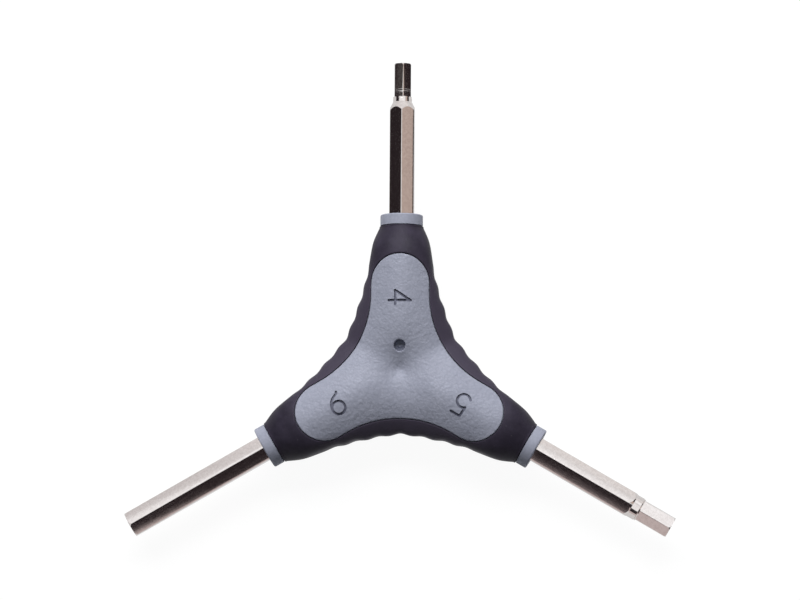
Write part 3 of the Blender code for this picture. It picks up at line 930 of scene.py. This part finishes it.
# %% Black rubber
NECK_TONES = (0.0195, 0.016, 0.0268, 1), (0.0325, 0.027, 0.044, 1)
# A lighter tone for near the middle, and the tone of dust specks.
MIDDLE_TONE, SPECK_TONE = (0.0485, 0.041, 0.062, 1), (0.12, 0.115, 0.12, 1)
MIDDLE_ENDS = 22.0 * MM, 30.0 * MM

black_rubber, tree, shader = new_finish("black_rubber")
where = object_place(tree)
stipple = noise(tree, where, 4200.0, 2.0)
cloud = noise(tree, where, 260.0, 5.0, Roughness=0.65)
speck = ramp(tree, cells(tree, where, 420.0, "F1"), 0.03, 0.06, 0.5, 0.0)
# Lighter near the middle, fading out from 22 to 30 mm, on the bands between the arms.
near_middle = ramp(tree, from_middle(tree, where), *MIDDLE_ENDS, 1.0, 0.0)
tone = blend(tree, ramp(tree, cloud, 0.4, 0.7), *NECK_TONES)
tone = blend(tree, near_middle, tone, MIDDLE_TONE)
wire(tree, shader, Base_Color=blend(tree, speck, tone, SPECK_TONE),
     Roughness=ramp(tree, cloud, 0.35, 0.65, 0.44, 0.54), Specular_IOR_Level=0.12,
     Normal=relief(tree, stipple, 0.3, 0.03 * MM))
print("black rubber:", len(tree.nodes), "nodes")

# %% [markdown]
# ### Plated steel
#
# Nickel plate is a warm grey mirror. The bar was drawn before it was plated, so faint lines run
# along it. Noise that is stretched along the key gives them: the Mapping node turns the pattern
# to the key's own direction and squeezes it there. The sawn end faces are duller, and the last
# hundredth of a millimetre by the distance from the middle finds them.

# %% Plated steel
NICKEL_TONES = (0.75, 0.70, 0.685, 1), (0.83, 0.785, 0.77, 1)
CUT_TONE = (0.54, 0.49, 0.48, 1)
CUT_STARTS = REACH - 0.015 * MM, REACH - 0.005 * MM


def plated_steel(name, degrees):
    material, tree, shader = new_finish(name)
    where = object_place(tree)
    to_key = (0.0, 0.0, math.radians(-degrees))
    along = node(tree, "Mapping", {"vector_type": "POINT"}, Vector=where, Rotation=to_key)
    drawn = node(tree, "Mapping", Vector=along.outputs[0], Scale=(0.06, 1.0, 1.0)).outputs[0]
    lines = noise(tree, drawn, 5200.0, 4.0)
    waves = noise(tree, drawn, 420.0, 1.0)
    mottle = noise(tree, where, 1400.0, 3.0)
    tone = blend(tree, ramp(tree, mottle, 0.35, 0.65), *NICKEL_TONES)
    cut = ramp(tree, from_middle(tree, where), *CUT_STARTS)
    polish = ramp(tree, lines, 0.3, 0.7, 0.09, 0.15)
    wire(tree, shader, Metallic=1.0, Base_Color=blend(tree, cut, tone, CUT_TONE),
         Roughness=added(tree, cut, 0.25, polish),
         Normal=relief(tree, added(tree, lines, 0.25, waves), 0.2, 0.01 * MM))
    return material


# %% Paint the pieces and set them on the frame
def settle(item, material, cad_node):
    """Gives a piece its finish and the CAD node that it stands for."""
    item.data.materials.clear()
    item.data.materials.append(material)
    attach(item, "root")
    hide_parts(cad_node)
    print(cad_node, "is", len(item.data.polygons), "faces in", material.name)


settle(core, grey_plastic, "core_handle")
settle(grip, black_rubber, "rubber_grip")
for label, degrees in ARMS.items():
    steel = plated_steel("steel_" + label, degrees)
    settle(keys[label], steel, "hex_key_" + label)

# %% [markdown]
# ## Floor, light and cards
#
# The wrench lies on a white table. A wide lamp stands behind it and gives the panels their slope
# of light. Metal has no look of its own, only what it mirrors, so the rest of the studio is set
# for the keys. From almost straight above, each facet of a key mirrors one side of the room,
# and a card hangs there in the tone that the facet needs. The camera doesn't see the cards.
# Where there is no card the keys mirror the table and the surround, and those are a little
# greyer to a mirror than to the camera, so that bright plate stands out from the white.

# %% Floor and surround
TABLE_GLOW, SURROUND_GLOW = (0.945, 0.66), (1.0, 0.76)
TABLE_SIZE, TABLE_GAP = 6.0, 0.05 * MM


def light_path(tree):
    """A socket that is 1 for camera, glossy and transmitted rays."""
    path, most = node(tree, "LightPath").outputs, {"operation": "MAXIMUM"}
    both = node(tree, "Math", most, i0=path["Is Camera Ray"], i1=path["Is Glossy Ray"]).outputs[0]
    return node(tree, "Math", most, i0=both, i1=path["Is Transmission Ray"]).outputs[0]


def brightness(tree, seen, mirrored):
    """A strength for what the camera sees and another for what the keys mirror."""
    glossy = node(tree, "LightPath").outputs["Is Glossy Ray"]
    return ramp(tree, glossy, 0.0, 1.0, seen, mirrored)


def sheet(name, size):
    bm = bmesh.new()
    bmesh.ops.create_grid(bm, x_segments=1, y_segments=1, size=size / 2.0)
    item = add_object(name, as_mesh(bm, name))
    return item


table, tree, shader = new_finish("white_table")
wire(tree, shader, Base_Color=(0.8, 0.8, 0.8, 1), Roughness=1.0, Specular_IOR_Level=0.0)
matt = node(tree, "BsdfDiffuse", Color=(0.09, 0.09, 0.09, 1))
glow = node(tree, "Emission", Color=(1, 1, 1, 1), Strength=brightness(tree, *TABLE_GLOW))
white = node(tree, "AddShader", i0=matt.outputs[0], i1=glow.outputs[0])
mixed = node(tree, "MixShader", i0=light_path(tree), i1=shader.outputs[0], i2=white.outputs[0])
wire(tree, tree.nodes["Material Output"], Surface=mixed.outputs[0])
floor = sheet("table_top", TABLE_SIZE)
floor.data.materials.append(table)
floor.location.z = -THICKNESS / 2.0 - TABLE_GAP

world = bpy.data.worlds.new("surround")
bpy.context.scene.world = world
world.use_nodes = True
tree = world.node_tree
ambient = node(tree, "Background", Color=(0.85, 0.92, 1, 1), Strength=0.08)
white = node(tree, "Background", Color=(1, 1, 1, 1), Strength=brightness(tree, *SURROUND_GLOW))
mixed = node(tree, "MixShader", i0=light_path(tree), i1=ambient.outputs[0], i2=white.outputs[0])
wire(tree, tree.nodes["World Output"], Surface=mixed.outputs[0])
print("table", TABLE_SIZE, "m across,", round(-floor.location.z / MM, 2), "mm below the middle")

# %% Lamp
def direction(azimuth, elevation):
    """Unit vector from the wrench. Azimuth 0 is +X and 90 is +Y."""
    a, e = math.radians(azimuth), math.radians(elevation)
    return Vector((math.cos(a) * math.cos(e), math.sin(a) * math.cos(e), math.sin(e)))


def aimed(item, azimuth, elevation, distance, roll=0.0):
    """Puts a lamp or card at a distance and turns it to face the wrench."""
    away = direction(azimuth, elevation)
    spin = Matrix.Rotation(math.radians(roll), 3, "Z").to_quaternion()
    item.location = away * distance
    item.rotation_mode = "QUATERNION"
    item.rotation_quaternion = away.to_track_quat("Z", "Y") @ spin


data = bpy.data.lights.new("back_softbox", "AREA")
data.shape, data.size, data.size_y, data.energy = "RECTANGLE", 0.9, 0.5, 12.1
softbox = add_object("back_softbox", data)
aimed(softbox, 96.0, 45.0, 0.9)
softbox.visible_glossy = False
print("lamp of", round(data.energy, 1), "W")

# %% Cards
# Each is (name, colour, azimuth, elevation, distance, size) and, for one of them, a roll.
CARDS = (
    # Glare at the back, on rounded edges and in the sheen of the plastic and the rubber.
    ("back_glow", (12.0, 12.0, 12.6), 91.0, 46.0, 0.6, (0.36, 0.26)),
    # Whatever faces straight up.
    ("white_card_top", (1.0, 1.0, 1.0), 270.0, 84.0, 0.75, (1.0, 0.8)),
    # Upper facets of the 6 mm key, at the left, and of the 5 mm key, at the right.
    ("white_card_back_left", (1.05, 1.06, 1.07), 123.0, 40.0, 0.6, (0.42, 0.26)),
    ("white_card_back_right", (1.06, 1.07, 1.08), 55.0, 41.0, 0.6, (0.42, 0.26)),
    ("grey_card_back_left", (0.69, 0.67, 0.67), 151.0, 18.0, 0.7, (0.60, 0.28)),
    ("grey_card_back", (0.84, 0.82, 0.82), 103.0, 17.0, 0.7, (0.60, 0.27)),
    ("grey_card_back_right", (0.86, 0.84, 0.83), 56.0, 16.0, 0.7, (0.62, 0.27)),
    # Left facet of the 4 mm key's bar.
    ("black_card_left", (0.020, 0.014, 0.016), 167.0, 27.0, 0.6, (0.44, 0.42)),
    # Lower facet of the 5 mm key's bar, and its fade at the foot.
    ("black_card_front_left", (0.017, 0.012, 0.014), 247.0, 44.7, 0.6, (0.46, 0.326)),
    ("dark_card_front_left", (0.050, 0.038, 0.042), 247.0, 31.0, 0.58, (0.44, 0.035)),
    # Left facet of the 4 mm working end.
    ("dark_card_left", (0.052, 0.045, 0.044), 163.0, 41.0, 0.58, (0.26, 0.12)),
    # Lower facet of the 6 mm key.
    ("black_card_front_right", (0.020, 0.014, 0.016), 298.0, 45.0, 0.6, (0.62, 0.35), -10.0),
    # Lower facet of the 5 mm working end, and the light strip under the 6 mm key.
    ("beige_card_front_left", (0.58, 0.50, 0.49), 242.0, 21.0, 0.64, (0.34, 0.24)),
    ("beige_card_front_right", (0.55, 0.47, 0.46), 296.0, 19.0, 0.64, (0.40, 0.34)),
    # Right facets of the 4 mm key's bar and of its working end.
    ("beige_card_right", (0.54, 0.44, 0.39), 6.0, 37.5, 0.6, (0.46, 0.235)),
    ("black_card_right", (0.022, 0.015, 0.018), 6.0, 15.0, 0.62, (0.50, 0.25)),
)


def card(name, colour, azimuth, elevation, distance, size, roll=0.0):
    """A card that only mirrors see."""
    item = sheet(name, 1.0)
    item.data.transform(Matrix.Diagonal((*size, 1.0, 1.0)))
    aimed(item, azimuth, elevation, distance, roll)
    material, tree, _ = new_finish(name)
    glow = node(tree, "Emission", Color=(*colour, 1), Strength=1.0)
    wire(tree, tree.nodes["Material Output"], Surface=glow.outputs[0])
    item.data.materials.append(material)
    item.visible_camera = item.visible_diffuse = item.visible_shadow = False


for row in CARDS:
    card(*row)
print(len(CARDS), "cards")

# %% [markdown]
# ## The camera
#
# The photograph was taken from almost straight above with a long lens. The tilts, the distance
# and the point looked at were fitted to the outlines of the three keys. The lens follows from
# pixels to a millimetre at the middle of the wrench's height, over an image 800 pixels wide.

# %% Camera
LEAN_Y, LEAN_X, ROLL = math.radians(6.0), math.radians(2.81), math.radians(0.401)
LOOK_AT = Vector((-0.273, 17.184, 0.0)) * MM
FROM, PIXELS_PER_MM, IMAGE_WIDTH = 792.0, 4.130, 800.0

back = Vector((math.sin(LEAN_X), -math.sin(LEAN_Y), 1.0)).normalized()
right = Vector((0.0, 1.0, 0.0)).cross(back).normalized()
up = back.cross(right)
rolled_right = right * math.cos(ROLL) + up * math.sin(ROLL)
rolled_up = up * math.cos(ROLL) - right * math.sin(ROLL)
turn = Matrix((rolled_right, rolled_up, back)).transposed()
data = bpy.data.cameras.new("camera")
data.sensor_width = 36.0
data.lens = PIXELS_PER_MM * FROM / IMAGE_WIDTH * data.sensor_width
data.clip_start, data.clip_end = 0.01, 50.0
camera = add_object("camera", data)
camera.matrix_world = Matrix.Translation(LOOK_AT + back * FROM * MM) @ turn.to_4x4()
bpy.context.scene.camera = camera
bpy.context.scene.view_settings.view_transform = "Standard"
print("lens", round(data.lens, 1), "mm")
